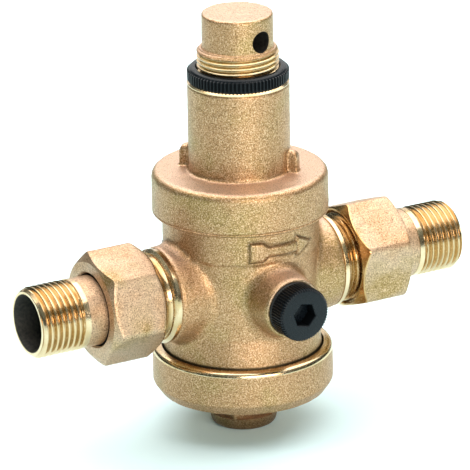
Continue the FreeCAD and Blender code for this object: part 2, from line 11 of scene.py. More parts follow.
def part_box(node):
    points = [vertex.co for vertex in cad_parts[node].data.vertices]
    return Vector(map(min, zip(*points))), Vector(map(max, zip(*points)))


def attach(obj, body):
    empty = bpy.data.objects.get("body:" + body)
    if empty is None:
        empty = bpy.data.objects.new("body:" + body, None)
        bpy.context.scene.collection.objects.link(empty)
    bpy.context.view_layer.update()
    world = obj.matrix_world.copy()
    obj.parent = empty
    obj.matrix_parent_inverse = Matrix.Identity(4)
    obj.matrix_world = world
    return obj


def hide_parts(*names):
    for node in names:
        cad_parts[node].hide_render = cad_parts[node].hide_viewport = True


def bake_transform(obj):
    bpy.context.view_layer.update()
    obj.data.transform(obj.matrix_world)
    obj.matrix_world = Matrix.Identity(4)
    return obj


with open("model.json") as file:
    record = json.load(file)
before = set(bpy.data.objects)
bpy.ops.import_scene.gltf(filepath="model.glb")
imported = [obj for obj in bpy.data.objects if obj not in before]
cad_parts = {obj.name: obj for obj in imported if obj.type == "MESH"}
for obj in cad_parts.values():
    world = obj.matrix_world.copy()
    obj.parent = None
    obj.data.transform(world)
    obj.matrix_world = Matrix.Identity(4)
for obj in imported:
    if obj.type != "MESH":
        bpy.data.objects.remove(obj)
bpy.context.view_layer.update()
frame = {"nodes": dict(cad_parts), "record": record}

MM = 0.001


# ---------------------------------------------------------------- sizes from the frame, in millimetres
def span(node, axis):
    """Lowest and highest value of a node along X, Y or Z (0, 1, 2)."""
    low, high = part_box(node)
    return low[axis] / MM, high[axis] / MM


def middle(node, axis):
    low, high = span(node, axis)
    return (low + high) / 2


def half_width(node, axis):
    low, high = span(node, axis)
    return (high - low) / 2


PIPE_Z = middle("outlet_tailpiece", 2)
HALF_LENGTH = span("outlet_tailpiece", 0)[1]
TAIL_FACE = span("outlet_tailpiece", 0)[0]
TAIL_COLLAR_R = half_width("outlet_tailpiece", 1)
NUT_BACK, NUT_FACE = span("outlet_union_nut", 0)
SCREW_FOOT, SCREW_TOP = span("adjusting_screw", 2)
SCREW_R = half_width("adjusting_screw", 0)
RING_LOW, RING_TOP = span("lock_ring", 2)
RING_R = half_width("lock_ring", 0)
FLANGE_LOW, TOWER_TOP = span("bonnet", 2)
FLANGE_R = half_width("bonnet", 0)
CAP_R, CAP_TOP = half_width("bottom_cap", 0), span("bottom_cap", 2)[1]
PLUG_R = half_width("front_gauge_plug", 2)
PLUG_FACE = -span("front_gauge_plug", 1)[0]
PLUG_END = -span("front_gauge_plug", 1)[1]

MOUNTS = {mount["name"]: mount for mount in frame["record"]["mounts"]}
PIPE_THREAD_R = MOUNTS["outlet_thread"]["dims"]["r_mm"]
TOMMY_R = MOUNTS["tommy_bar_hole"]["dims"]["r_mm"]
TOMMY_Z = MOUNTS["tommy_bar_hole"]["pos_m"][2] / MM
TOMMY_AXIS = Vector(MOUNTS["tommy_bar_hole"]["axis"])


# ---------------------------------------------------------------- outlines and meshes
def rounded(points, steps=4):
    """Outline points in which a third value rounds the corner with an arc."""
    done = []
    for i, point in enumerate(points):
        if len(point) < 3 or not point[2]:
            done.append((point[0], point[1]))
            continue
        here = Vector(point[:2])
        before = (Vector(points[i - 1][:2]) - here).normalized()
        after = (Vector(points[(i + 1) % len(points)][:2]) - here).normalized()
        half = before.angle(after) / 2
        reach = point[2] / math.tan(half)
        centre = here + (before + after).normalized() * (point[2] / math.sin(half))
        first, last = here + before * reach - centre, here + after * reach - centre
        for step in range(steps + 1):
            done.append(tuple(centre + first.slerp(last, step / steps) * point[2]))
    return done


def dense(rows, longest, closed=True):
    """Rows with further rows put in, so that no band is longer than a length."""
    done = []
    for i, row in enumerate(rows):
        done.append(row)
        if i == len(rows) - 1 and not closed:
            break
        following = Vector(rows[(i + 1) % len(rows)])
        count = math.ceil((following - Vector(row)).length / longest)
        done += [tuple(Vector(row).lerp(following, k / count)) for k in range(1, count)]
    return done


def even(count):
    return [2 * math.pi * i / count for i in range(count)]


def ring_points(rows, angles):
    """Points of rows (radius, height), where either may be a function of the angle."""
    points = []
    for radius, height in rows:
        for angle in angles:
            r = radius(angle) if callable(radius) else radius
            z = height(angle) if callable(height) else height
            points.append((r * math.cos(angle), r * math.sin(angle), z))
    return points


def grid_faces(rows, columns, shift=0, closed=False):
    """Quads between rows; at the seam a helix meets itself some rows further on."""
    faces = []
    for c in range(columns):
        n = (c + 1) % columns
        step = 0 if n else shift
        for r in range(rows if closed else rows - 1 - step):
            above = (r + 1) % rows
            faces.append((r * columns + c, (r + step) * columns + n,
                          ((r + step + 1) % rows) * columns + n, above * columns + c))
    return faces


SHARP_ANGLE = 32.0                        # degrees above which an edge stays sharp
MERGE_DISTANCE = 2e-6


def finish_mesh(thing, sharp=SHARP_ANGLE):
    """Merge doubled points, turn faces outwards and keep edges sharp above an angle."""
    work = bmesh.new()
    work.from_mesh(thing.data)
    bmesh.ops.remove_doubles(work, verts=work.verts, dist=MERGE_DISTANCE)
    bmesh.ops.dissolve_degenerate(work, edges=work.edges, dist=MERGE_DISTANCE)
    loose = [edge for edge in work.edges if not edge.link_faces]
    bmesh.ops.delete(work, geom=loose, context="EDGES")
    bmesh.ops.recalc_face_normals(work, faces=work.faces)
    for face in work.faces:
        face.smooth = True
    for edge in work.edges:
        edge.smooth = edge.calc_face_angle(0) < math.radians(sharp)
    work.to_mesh(thing.data)
    work.free()
    return thing


def mesh_object(name, points, faces, placement=None, sharp=SHARP_ANGLE):
    mesh = bpy.data.meshes.new(name)
    placement = placement or Matrix.Identity(4)
    mesh.from_pydata([tuple(placement @ (Vector(p) * MM)) for p in points], [], faces)
    thing = bpy.data.objects.new(name, mesh)
    bpy.context.scene.collection.objects.link(thing)
    return finish_mesh(thing, sharp)


def lathe(name, rows, columns=192, placement=None, sharp=SHARP_ANGLE):
    """Solid turned from a closed outline of (radius, height)."""
    points = ring_points(rows, even(columns))
    return mesh_object(name, points, grid_faces(len(rows), columns, closed=True), placement, sharp)


THREAD_LEAD = 1.01                        # turns by which a thread's grid starts below its low end
ROOT_SHARE, FLANK_SHARE = 0.16, 0.68      # of half a pitch, the rest is the crest


def thread_points(radius, pitch, depth, low, high, cap, columns, steps=16):
    """Grid of a right-hand outside thread; cap(z) limits its radius at the ends."""
    rows = (math.ceil((high - low) / pitch) + 2) * steps + 1
    points = []
    for r in range(rows):
        for c in range(columns):
            angle = 2 * math.pi * c / columns
            z = min(max(low + pitch * (r / steps + c / columns - THREAD_LEAD), low), high)
            phase = (z - low) / pitch - c / columns
            flank = abs(phase % 1.0 - 0.5) * 2
            height = min(max((flank - ROOT_SHARE) / FLANK_SHARE, 0.0), 1.0)
            height = 0.5 * height + 0.5 * height * height * (3 - 2 * height)
            reach = min(radius - depth * (1 - height), cap(z))
            points.append((reach * math.cos(angle), reach * math.sin(angle), z))
    return points, rows, steps


def threaded(name, thread, rows, columns, placement=None):
    """Outside thread closed by rows that run from its top ring round to its bottom ring."""
    points, count, steps = thread
    start = len(points)
    faces = grid_faces(count, columns, steps)
    points = points + ring_points(rows, even(columns))
    faces += [tuple(start + i for i in band) for band in grid_faces(len(rows), columns)]
    top, end = (count - 1) * columns, start + (len(rows) - 1) * columns
    for c in range(columns):
        n = (c + 1) % columns
        faces.append((top + c, top + n, start + n, start + c))
        faces.append((end + c, end + n, n, c))
    return mesh_object(name, points, faces, placement)


def towards(x, y):
    """Placement that turns +Z towards a horizontal direction at the pipe's height."""
    out = Vector((x, y, 0)).normalized()
    side = Vector((-y, x, 0)).normalized()
    turn = Matrix((side, Vector((0, 0, 1)), out)).transposed()
    if turn.determinant() < 0:
        turn = Matrix((-side, Vector((0, 0, 1)), out)).transposed()
    return Matrix.Translation((0, 0, PIPE_Z * MM)) @ turn.to_4x4()


def apply_modifiers(thing):
    graph = bpy.context.evaluated_depsgraph_get()
    mesh = bpy.data.meshes.new_from_object(thing.evaluated_get(graph))
    thing.modifiers.clear()
    thing.data = mesh


def cut_away(thing, tool):
    step = thing.modifiers.new("cut", "BOOLEAN")
    step.operation = "DIFFERENCE"
    step.object = tool
    step.solver = "EXACT"
    apply_modifiers(thing)
    bpy.data.objects.remove(tool)
    finish_mesh(thing)


RIPPLE = 2.3                              # how much finer the second wave of an uneven skin is


def roughen(thing, depth, size, where):
    """Push points in and out a little, as a sand-cast skin is uneven."""
    mesh = thing.data
    normals = [vertex.normal.copy() for vertex in mesh.vertices]
    for vertex, normal in zip(mesh.vertices, normals):
        if where(vertex.co / MM):
            spot = vertex.co / (size * MM)
            wave = noise.noise(spot) + 0.5 * noise.noise(spot * RIPPLE)
            vertex.co += normal * (wave * depth * MM)


def paint(thing, *coats):
    """Give faces the last material whose test(middle in mm, normal) they pass."""
    thing.data.materials.clear()
    for material, _ in coats:
        thing.data.materials.append(material)
    for face in thing.data.polygons:
        middle, normal = face.center / MM, face.normal
        passed = [i for i, (_, test) in enumerate(coats) if test is None or test(middle, normal)]
        face.material_index = passed[-1]


def place(thing, body, slot, *nodes):
    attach(thing, body)
    if nodes:
        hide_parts(*nodes)


# ---------------------------------------------------------------- materials
MIX_INPUTS, MIX_RESULT = (0, 6, 7), 2     # a colour mix node's factor, colours and result sockets


class Nodes:
    """Short-hand for building a material's node tree."""

    def __init__(self, name):
        self.material = bpy.data.materials.new(name)
        self.material.use_nodes = True
        self.tree = self.material.node_tree
        self.shader = self.tree.nodes["Principled BSDF"]
        self.place = self.add("ShaderNodeTexCoord").outputs["Object"]

    def add(self, kind, **settings):
        node = self.tree.nodes.new(kind)
        for key, value in settings.items():
            setattr(node, key, value)
        return node

    def link(self, source, target):
        self.tree.links.new(source, target)

    def noise(self, size_mm, detail=2.0, roughness=0.5):
        node = self.add("ShaderNodeTexNoise")
        node.inputs["Scale"].default_value = 1.0 / (size_mm * MM)
        node.inputs["Detail"].default_value = detail
        node.inputs["Roughness"].default_value = roughness
        self.link(self.place, node.inputs["Vector"])
        return node.outputs["Fac"]

    def attribute(self, name):
        return self.add("ShaderNodeAttribute", attribute_name=name).outputs["Fac"]

    def upward(self):
        """How far the piece's own surface faces up, from -1 to 1."""
        node = self.add("ShaderNodeSeparateXYZ")
        self.link(self.add("ShaderNodeTexCoord").outputs["Normal"], node.inputs[0])
        return node.outputs["Z"]

    def spread(self, source, low, high, start=0.3, end=0.7):
        node = self.add("ShaderNodeMapRange")
        node.inputs["From Min"].default_value = start
        node.inputs["From Max"].default_value = end
        node.inputs["To Min"].default_value = low
        node.inputs["To Max"].default_value = high
        self.link(source, node.inputs["Value"])
        return node.outputs["Result"]

    def mix(self, factor, first, second):
        node = self.add("ShaderNodeMix", data_type="RGBA")
        for key, value in zip(MIX_INPUTS, (factor, first, second)):
            if isinstance(value, bpy.types.NodeSocket):
                self.link(value, node.inputs[key])
            else:
                node.inputs[key].default_value = (*value, 1) if isinstance(value, tuple) else value
        return node.outputs[MIX_RESULT]

    def bump(self, height, depth_mm, strength=1.0, over=None):
        node = self.add("ShaderNodeBump")
        node.inputs["Strength"].default_value = strength
        node.inputs["Distance"].default_value = depth_mm * MM
        self.link(height, node.inputs["Height"])
        if over is not None:
            self.link(over, node.inputs["Normal"])
        return node.outputs["Normal"]

    def set(self, **values):
        for key, value in values.items():
            socket = self.shader.inputs[key.replace("_", " ")]
            if isinstance(value, bpy.types.NodeSocket):
                self.link(value, socket)
            else:
                socket.default_value = (*value, 1) if isinstance(value, tuple) else value
        return self.material


TAN, PINK, OLIVE = (0.40, 0.237, 0.104), (0.44, 0.247, 0.116), (0.355, 0.235, 0.086)
# the third colour is a painted sheen, laid on faces that point up
PALE, SHADE, TOP_SHEEN = (0.70, 0.49, 0.31), (0.12, 0.070, 0.03), (0.68, 0.48, 0.36)
# the third colour is a brown tone darkened further as painted shade, for the nuts' back faces
GOLD, DEEP_GOLD, BROWN_AND_SHADE_GOLD = (0.76, 0.60, 0.40), (0.62, 0.43, 0.21), (0.38, 0.20, 0.065)
FORGED_TAN = (0.54, 0.405, 0.29)
# colours of painted shade, on cast and on machined brass
CAST_SHADE, MACHINED_SHADE = (0.05, 0.035, 0.015), (0.32, 0.18, 0.06)
# near-black colours of the painted shade inside bores and holes
BORE_SHADE_DEEP, BORE_SHADE_LIGHT = (0.012, 0.011, 0.010), (0.045, 0.040, 0.030)


def cast_brass(name="cast_brass", ground=TAN, top_sheen=0.85):
    """Sandy skin: broad pink and olive stains under fine pale and dark grains, with a painted sheen where it
    faces up and painted shade where a point attribute asks for it.
    """
    n = Nodes(name)
    grain = n.noise(0.36, 2.0, 0.65)
    stain = n.noise(16.0, 2.0, 0.5)
    colour = n.mix(n.spread(stain, 1.0, 0.0, 0.34, 0.5), ground, OLIVE)
    colour = n.mix(n.spread(stain, 0.0, 1.0, 0.42, 0.66), colour, PINK)
    # painted sheen: faces that point up turn paler, as if lit from above
    colour = n.mix(n.spread(n.upward(), 0.0, top_sheen, 0.7, 0.98), colour, TOP_SHEEN)
    colour = n.mix(n.spread(grain, 0.0, 1.0, 0.51, 0.66), colour, PALE)
    colour = n.mix(n.spread(grain, 0.8, 0.0, 0.33, 0.47), colour, SHADE)
    # painted shade, where the point attribute asks for it
    colour = n.mix(n.attribute("painted_shade"), colour, CAST_SHADE)
    waves = n.bump(n.noise(2.5, 2.0), 0.08, 0.5)
    return n.set(Base_Color=colour, Metallic=0.85, Roughness=n.spread(grain, 0.50, 0.38),
                 Normal=n.bump(grain, 0.10, 0.9, waves))


def machined_brass(name="machined_brass", colour=GOLD):
    """Turned, shiny brass, with painted shade in the roots of its threads."""
    n = Nodes(name)
    tint = n.mix(n.spread(n.noise(6.0, 3.0), 0.0, 1.0), colour, DEEP_GOLD)
    # painted shade, where the point attribute asks for it
    tint = n.mix(n.attribute("painted_shade"), tint, MACHINED_SHADE)
    wear = n.noise(0.5, 3.0, 0.7)
    return n.set(Base_Color=tint, Metallic=1.0, Roughness=n.spread(wear, 0.14, 0.30),
                 Normal=n.bump(n.noise(1.2, 2.0), 0.01, 0.4))


def plastic(name, colour, roughness, shine=0.4):
    n = Nodes(name)
    speck = n.noise(0.4, 3.0)
    tint = n.mix(n.spread(speck, 0.0, 1.0), colour, tuple(1.25 * c for c in colour))
    n.shader.inputs["Specular IOR Level"].default_value = shine
    return n.set(Base_Color=tint, Roughness=n.spread(speck, roughness - 0.05, roughness + 0.08),
                 Normal=n.bump(speck, 0.01, 0.5))


def steel(name, colour, roughness):
    n = Nodes(name)
    streaks = n.noise(0.6, 3.0)
    return n.set(Base_Color=n.mix(streaks, colour, tuple(0.8 * c for c in colour)), Metallic=1.0,
                 Roughness=n.spread(streaks, roughness, roughness + 0.15), Normal=n.bump(streaks, 0.01, 0.4))


def bore_shade_brass():
    """Dull brass painted near-black inside bores and holes, as painted shade."""
    n = Nodes("bore_shade_brass")
    stain = n.noise(1.0, 3.0, 0.6)
    tint = n.mix(n.spread(stain, 0.0, 1.0), BORE_SHADE_DEEP, BORE_SHADE_LIGHT)
    return n.set(Base_Color=tint, Metallic=0.5, Roughness=0.6, Normal=n.bump(stain, 0.05, 0.5))


CAST = cast_brass()
FORGED = cast_brass("forged_brass", FORGED_TAN, 0.1)
BRIGHT = machined_brass()
BROWNED_AND_SHADED = machined_brass("browned_and_shaded_brass", BROWN_AND_SHADE_GOLD)
# DARK: near-black painted shade for bores, holes and hidden gaps
DARK = bore_shade_brass()
BLACK = plastic("black_plastic", (0.002, 0.004, 0.006), 0.28, 0.24)
# a darker, duller black: painted shade in grooves and sockets
PITCH = plastic("black_grooves", (0.002, 0.003, 0.004), 0.6, 0.1)
WHITE = plastic("white_plastic", (0.80, 0.80, 0.76), 0.4)
RUBBER = plastic("rubber", (0.02, 0.02, 0.02), 0.6)
FIBRE = plastic("fibre", (0.16, 0.26, 0.20), 0.7)
STAINLESS = steel("stainless", (0.62, 0.62, 0.62), 0.25)
SPRING = steel("spring_steel", (0.30, 0.30, 0.31), 0.35)

SLOT_MATERIALS = {"cast_brass": CAST, "machined_brass": BRIGHT, "stainless": STAINLESS,
                  "spring_steel": SPRING, "black_plastic": BLACK, "white_plastic": WHITE,
                  "rubber": RUBBER, "fibre": FIBRE}
for row in frame["record"]["subparts"]:
    cad = frame["nodes"][row["node"]]
    cad.data.materials.clear()
    cad.data.materials.append(SLOT_MATERIALS[row["material_slot"]])


# ---------------------------------------------------------------- pieces
def node_copy(name, node):
    """New piece with a CAD node's mesh."""
    thing = bpy.data.objects.new(name, frame["nodes"][node].data.copy())
    bpy.context.scene.collection.objects.link(thing)
    return finish_mesh(thing)


SMOOTHING_PASSES = 5
SKIN_WAVE, SKIN_DEPTH = 2.6, 0.07         # of the sand-cast skin
FORGED_WAVE = 2.2                         # of nuts and the screw's head
CUT_MARGIN = 0.8                          # width of the even skin beside a cut


def cast_skin(name, node, voxel, planes):
    """A node's mesh cut off at planes (distance, direction), its edges soft and its skin uneven."""
    thing = node_copy(name, node)
    work = bmesh.new()
    work.from_mesh(thing.data)
    for distance, direction in planes:
        everything = work.verts[:] + work.edges[:] + work.faces[:]
        bmesh.ops.bisect_plane(work, geom=everything, clear_outer=True,
                               plane_co=Vector(direction) * distance * MM, plane_no=direction)
        bmesh.ops.bridge_loops(work, edges=[edge for edge in work.edges if edge.is_boundary])
    work.to_mesh(thing.data)
    work.free()
    remesh = thing.modifiers.new("remesh", "REMESH")
    remesh.mode = "VOXEL"
    remesh.voxel_size = voxel * MM
    smooth = thing.modifiers.new("smooth", "SMOOTH")
    smooth.iterations = SMOOTHING_PASSES
    apply_modifiers(thing)
    thing.data.shade_smooth()
    roughen(thing, SKIN_DEPTH, SKIN_WAVE,
            lambda p: all(p.dot(Vector(d)) < far - CUT_MARGIN for far, d in planes))
    return thing


# body
PORT_CUT = 27.55
BOSS_FACE = span("body", 1)[1]
SHOULDER_Z = FLANGE_LOW
BORE_R, WATERWAY_R, WATERWAY_START = 7.95, 9.0, 20.0


def is_machined_body(p, n):
    return p.z > SHOULDER_Z - 0.3 or p.z < CAP_TOP - 2.5


def is_boss_face(p, n):
    return abs(p.y) > BOSS_FACE - 0.35 and abs(n.y) > 0.5


# the bore and waterway are painted near-black as painted shade
def is_waterway(p, n):
    return abs(p.x) > WATERWAY_START and pipe_radius(p) < WATERWAY_R


NECK_R, NECK_LOW, NECK_TOP = 23.0, SHOULDER_Z - 9.2, SHOULDER_Z - 0.9
ARROW_Z, ARROW_TURN, ARROW_RISE, ARROW_SOFTNESS = 60.8, math.radians(3.8), 0.6, 7.0
HOLLOW_AT, HOLLOW_WIDTH, HOLLOW_DEPTH = 0.3, 0.4, 0.3
ARROW_HALF, ARROW_SHAFT, ARROW_HEAD, ARROW_TIP = 10.8, 1.45, 2.9, 6.3
ARROW_TAIL, ARROW_TAIL_SLOPE = 3.6, 2.2


def outside_arrow(along, across):
    """Distance outside the outline of the flow arrow, negative inside it."""
    across = abs(across)
    shaft = max(abs(along + ARROW_TIP / 2) - ARROW_HALF + ARROW_TIP / 2, across - ARROW_SHAFT)
    head = max(ARROW_HALF - ARROW_TIP - along, slanted(along - ARROW_HALF, across, ARROW_TIP, ARROW_HEAD))
    shoulder = along + ARROW_HALF - ARROW_TAIL - ARROW_TAIL_SLOPE
    flare = slanted(shoulder, across - ARROW_SHAFT, ARROW_TAIL_SLOPE, ARROW_HEAD - ARROW_SHAFT)
    tail = max(-ARROW_HALF - along, across - ARROW_HEAD, flare)
    return min(shaft, head, tail)


def slanted(along, across, run, rise):
    """Distance beyond a line through the origin that falls by a rise over a run."""
    return (along * rise + across * run) / math.hypot(run, rise)


def raise_arrow(thing):
    """Flow arrow cast on the neck, with soft edges and a hollow round it that holds painted shade."""
    painted_shade = thing.data.attributes.new("painted_shade", "FLOAT", "POINT").data
    for vertex in thing.data.vertices:
        x, y, z = vertex.co / MM
        radius = math.hypot(x, y)
        if y > -8 or radius < NECK_R - 0.6 or not NECK_LOW < z < NECK_TOP:
            continue
        gap = outside_arrow((math.atan2(x, -y) - ARROW_TURN) * NECK_R, z - ARROW_Z)
        hollow = math.exp(-((gap - HOLLOW_AT) / HOLLOW_WIDTH) ** 2)
        rise = ARROW_RISE / (1 + math.exp(ARROW_SOFTNESS * gap)) - HOLLOW_DEPTH * hollow
        scale = (NECK_R + rise) / radius
        vertex.co.x *= scale
        vertex.co.y *= scale
        # painted shade in the hollow round the arrow, patchy by noise
        painted_shade[vertex.index].value = hollow * (0.55 + 0.45 * noise.noise(vertex.co / (2.5 * MM)))


THREAD_COLUMNS = 144


def paint_shade(thing, share):
    """Painted shade whose amount, from 0 to 1, follows from the place in millimetres."""
    painted_shade = thing.data.attributes.get("painted_shade") or thing.data.attributes.new("painted_shade", "FLOAT", "POINT")
    for vertex in thing.data.vertices:
        amount = min(max(share(vertex.co / MM), 0), 1)
        painted_shade.data[vertex.index].value = max(painted_shade.data[vertex.index].value, amount)


def pipe_radius(p):
    return math.hypot(p.y, p.z - PIPE_Z)


def shade_thread_roots(thing, radius, depth, start, end, amount=1.0):
    """Painted shade in the root of a thread along the pipe, between two distances from the middle."""
    def share(p):
        if start < abs(p.x) < end:
            return amount * (radius - 0.2 - pipe_radius(p)) / depth
        return 0

    paint_shade(thing, share)


def cast_body():
    planes = [(PORT_CUT, (1, 0, 0)), (PORT_CUT, (-1, 0, 0))]
    thing = cast_skin("cast_body", "body", 0.38, planes)
    raise_arrow(thing)
    # painted shade on the body just above the cap, in the gap between the two parts
    paint_shade(thing, lambda p: (CAP_TOP + 0.7 - p.z) / 0.45)
    paint(thing, (CAST, None), (BRIGHT, is_machined_body), (FORGED, is_boss_face), (DARK, is_waterway))
    place(thing, "housing", "cast_brass", "body")


PIPE_PITCH, PIPE_DEPTH = 1.814, 1.162     # of a thread with 14 turns an inch
UNION_R = 13.22
COLLAR_R, COLLAR_END, RELIEF_R, RELIEF_END = 14.0, 29.8, 12.3, 31.2


def union_port(side, name):
    """Machined collar, relief and union thread on one port."""
    face = span("body", 0)[1]
    root = UNION_R - PIPE_DEPTH
    foot, tip = RELIEF_END + 0.1, face - 0.2

    def cap(z):
        return min(root + 0.1 + (tip + 0.1 - z), root + 0.02 + (z - foot) * 1.6)

    rows = rounded([
        (root, face - 0.05), (root - 0.2, face), (BORE_R + 0.4, face), (BORE_R, face - 0.4),
        (BORE_R, PORT_CUT - 2), (COLLAR_R - 0.7, PORT_CUT - 2), (COLLAR_R - 0.7, PORT_CUT - 0.2),
        (COLLAR_R, PORT_CUT + 0.1, 0.12), (COLLAR_R, COLLAR_END - 0.9), (COLLAR_R - 0.9, COLLAR_END),
        (RELIEF_R, COLLAR_END, 0.2), (RELIEF_R, RELIEF_END - 0.4), (root, RELIEF_END)])
    thread = thread_points(UNION_R, PIPE_PITCH, PIPE_DEPTH, foot, tip, cap, THREAD_COLUMNS)
    thing = threaded(name + "_port", thread, rows, THREAD_COLUMNS, towards(side, 0))
    # painted shade in the roots of the union thread
    shade_thread_roots(thing, UNION_R, PIPE_DEPTH, RELIEF_END - 0.8, tip)
    # the port's bore is painted near-black as painted shade
    paint(thing, (BRIGHT, None), (DARK, lambda p, n: pipe_radius(p) < BORE_R + 0.3))
    place(thing, "housing", "machined_brass")


# bonnet
TOWER_R = RING_R + 0.08
SCREW_BORE_R = SCREW_R + 0.05
SKIRT_BORE_R = 22.05


def bonnet():
    """Casting with a machined rim on its tower and a turned ring at the foot of its flange."""
    top_cut, foot_cut = TOWER_TOP - 0.75, FLANGE_LOW + 0.75
    planes = [(top_cut, (0, 0, 1)), (-foot_cut, (0, 0, -1))]
    thing = cast_skin("bonnet_casting", "bonnet", 0.4, planes)
    paint(thing, (CAST, None),
          (BRIGHT, lambda p, n: p.xy.length < SCREW_BORE_R + 1.2 and p.z > FLANGE_LOW))
    place(thing, "housing", "cast_brass", "bonnet")
    rim = lathe("tower_rim", [
        (SCREW_BORE_R, top_cut - 0.3), (TOWER_R - 0.3, top_cut - 0.3), (TOWER_R, top_cut),
        (TOWER_R, TOWER_TOP - 0.5), (TOWER_R - 0.5, TOWER_TOP), (SCREW_BORE_R, TOWER_TOP)])
    skirt = lathe("flange_foot", [
        (SKIRT_BORE_R, FLANGE_LOW), (FLANGE_R - 0.5, FLANGE_LOW), (FLANGE_R, FLANGE_LOW + 0.5),
        (FLANGE_R, foot_cut), (FLANGE_R - 0.3, foot_cut + 0.3), (SKIRT_BORE_R, foot_cut + 0.3)])
    paint(rim, (BRIGHT, None))
    place(rim, "housing", "machined_brass")
    paint(skirt, (CAST, None))
    place(skirt, "housing", "cast_brass")


# bottom cap
CAP_BORE_R, CAP_FLOOR, CAP_UNDERSIDE, CAP_EDGE = 24.05, 13.5, 11.2, (24.5, 14.3)
SPANNER_R, SPANNER_FLAT, FOOT_R = 10.25, 7.5, 9.4
SPANNER_LOW, SPANNER_TOP = 3.9, 9.9
BUSH_R, BUSH_BOSS_R, BUSH_TOP, BUSH_FOOT = 9.05, 12.0, 25.0, 11.5
WELL_R, WELL_FLOOR = 6.0, 4.0
CAP_POLISH = 1.65                         # how far the machined rim reaches down


def bottom_cap():
    """Cup with a polished rim, four spanner flats on its boss and the piston's bush inside."""
    outline = dense(rounded([
        (0, 0), (FOOT_R, 0, 1.8), (SPANNER_R, SPANNER_LOW, 0.4), (SPANNER_R, CAP_UNDERSIDE, 1.2),
        (CAP_EDGE[0], CAP_UNDERSIDE, 0.5), (CAP_R, CAP_EDGE[1], 1.4), (CAP_R, CAP_TOP, 1.6),
        (CAP_BORE_R, CAP_TOP), (CAP_BORE_R, CAP_FLOOR), (BUSH_BOSS_R, CAP_FLOOR), (BUSH_BOSS_R, BUSH_TOP),
        (BUSH_R, BUSH_TOP), (BUSH_R, BUSH_FOOT), (WELL_R, BUSH_FOOT), (WELL_R, WELL_FLOOR),
        (0, WELL_FLOOR)]), 0.7)

    def flats(radius):
        return lambda angle: min(radius, SPANNER_FLAT / max(abs(math.cos(angle)), abs(math.sin(angle))))

    rows = [(flats(r) if SPANNER_LOW < z < SPANNER_TOP and r > FOOT_R else r, z) for r, z in outline]
    thing = lathe("cap", rows, 240)
    roughen(thing, 0.06, SKIN_WAVE, lambda p: 0.9 < p.z < CAP_TOP - 1.8 and p.xy.length > 8)
    # painted shade on the foot, darker towards the bottom
    paint_shade(thing, lambda p: 0.6 * min((5.5 - p.z) / 3, 1))
    paint(thing, (CAST, None),
          (BRIGHT, lambda p, n: p.z > CAP_TOP - CAP_POLISH and p.xy.length > CAP_BORE_R - 1))
    place(thing, "housing", "cast_brass", "bottom_cap")


# unions
NUT_FLAT, NUT_CORNER_R, NUT_BORE_R, NUT_SHOULDER = 15.0, 2.2, 10.85, 47.0
NUT_TURNS = {"inlet": 15.7, "outlet": 9.4}     # degrees
NUT_BACK_RUN, NUT_FACE_RUN = 2.1, 1.9     # of the bevels, outwards to a sharp corner
NUT_SOFTNESS = 0.16                       # rounding of its bevels' edges
HALF_SIXTH = math.radians(30)             # half a hexagon's side


def hexagon(flat, corner):
    """Radius of a hexagon with rounded corners, one of them at angle 0."""
    reach = (flat - corner) / math.cos(HALF_SIXTH)
    arc_end = HALF_SIXTH - math.atan2(reach / 2, flat)

    def radius(angle):
        off = abs((angle + HALF_SIXTH) % math.radians(60) - HALF_SIXTH)
        if off > arc_end:
            return flat / math.cos(HALF_SIXTH - off)
        return reach * math.cos(off) + math.sqrt(corner ** 2 - (reach * math.sin(off)) ** 2)

    return radius


def union_nut(side, name):
    """Hexagon nut, bevelled at both ends, with a back face darkened brown, partly its own tone and partly
    painted shade, and a bore painted near-black as shade.
    """
    hexed = hexagon(NUT_FLAT, NUT_CORNER_R)
    back, face = NUT_BACK, NUT_FACE
    full = NUT_FLAT / math.cos(HALF_SIXTH)
    back_r, face_r = NUT_FLAT - 0.4, NUT_FLAT - 0.8
    back_slope, face_slope = (full - back_r) / NUT_BACK_RUN, (full - face_r) / NUT_FACE_RUN

    def back_z(angle):
        return back + (hexed(angle) - back_r) / back_slope

    def face_z(angle):
        return face - (hexed(angle) - face_r) / face_slope

    def inset(depth):
        return lambda angle: hexed(angle) - depth

    def between(share):
        return lambda angle: (1 - share) * (back_z(angle) + 0.25) + share * (face_z(angle) - 0.3)

    def is_outside(p):
        within = back + 2.0 < abs(p.x) < face - 0.1 and abs(p.x) != NUT_SHOULDER
        return within and pipe_radius(p) > NUT_FLAT - 1

    soft = NUT_SOFTNESS
    rows = [(back_r, back), (inset(soft), lambda a: back_z(a) - soft / back_slope)]
    rows += [(hexed, between(k / 20)) for k in range(21)]
    rows += [(inset(soft), lambda a: face_z(a) + soft / face_slope), (face_r + 0.25, face - 0.15),
             (face_r, face), (NUT_BORE_R + 0.5, face), (NUT_BORE_R, face - 0.5),
             (NUT_BORE_R, NUT_SHOULDER), (UNION_R + 0.05, NUT_SHOULDER), (UNION_R + 0.05, back + 1.0),
             (UNION_R + 1.0, back)]
    turn = math.radians(NUT_TURNS[name] + 30)
    thing = lathe(name + "_nut", rows, 216, towards(side, 0) @ Matrix.Rotation(turn, 4, "Z"), 24.0)
    roughen(thing, 0.05, FORGED_WAVE, is_outside)
    # back faces toward the body are darker brown: partly their own tone, partly painted shade
    paint(thing, (FORGED, None), (BROWNED_AND_SHADED, lambda p, n: n.x * side < -0.3),
          # the bore is painted near-black as painted shade
          (DARK, lambda p, n: pipe_radius(p) < NUT_BORE_R + 0.2))
    place(thing, name + "_nut", "cast_brass", name + "_union_nut")


TAIL_BORE_R, TAIL_MOUTH_R = 8.0, 8.66
TAIL_TUBE_R, TAIL_BAND_FOOT, TAIL_THREAD_FOOT = 10.3, 55.5, 58.2


